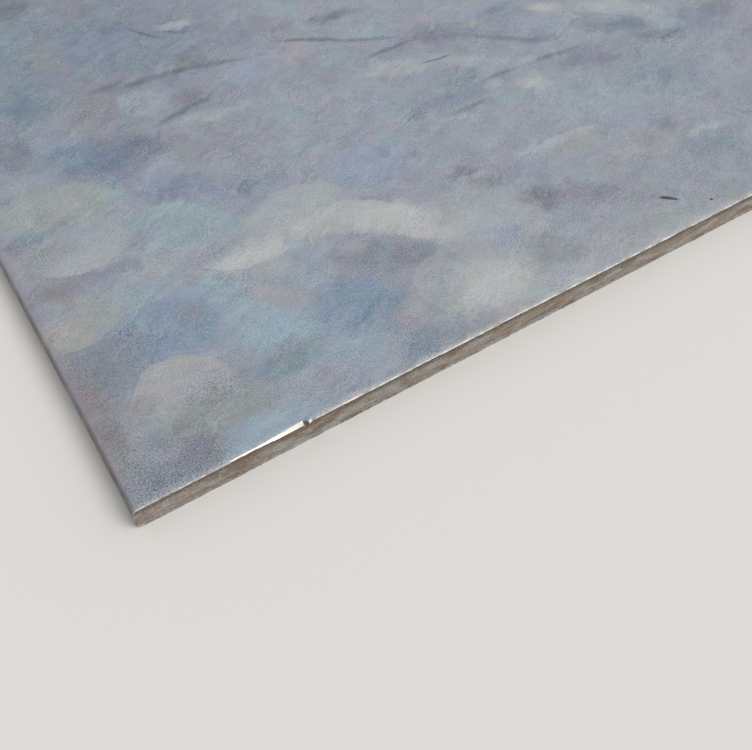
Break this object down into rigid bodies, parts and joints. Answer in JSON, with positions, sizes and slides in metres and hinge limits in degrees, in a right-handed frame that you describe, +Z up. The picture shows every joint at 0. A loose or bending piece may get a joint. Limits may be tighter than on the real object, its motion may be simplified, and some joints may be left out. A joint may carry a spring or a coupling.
{
  "type": "steel plate",
  "caption": "Flat rectangular hot-rolled steel plate in mill scale, with rounded rolled long edges and guillotine-sheared ends, for cutting, welding or bending.",
  "frame": {"origin": "middle of the underside", "axes": "+Z up through the thickness, +Y along the rolling direction and the long sides, +X across the width"},
  "size_m": [1.5, 3, 0.016],
  "materials": {
    "mill_scale_steel": "hot-rolled mill scale, mottled blue grey, with bare sheared ends"
  },
  "bodies": {
    "root": {"steel_plate": "mill_scale_steel"}
  },
  "joints": []
}
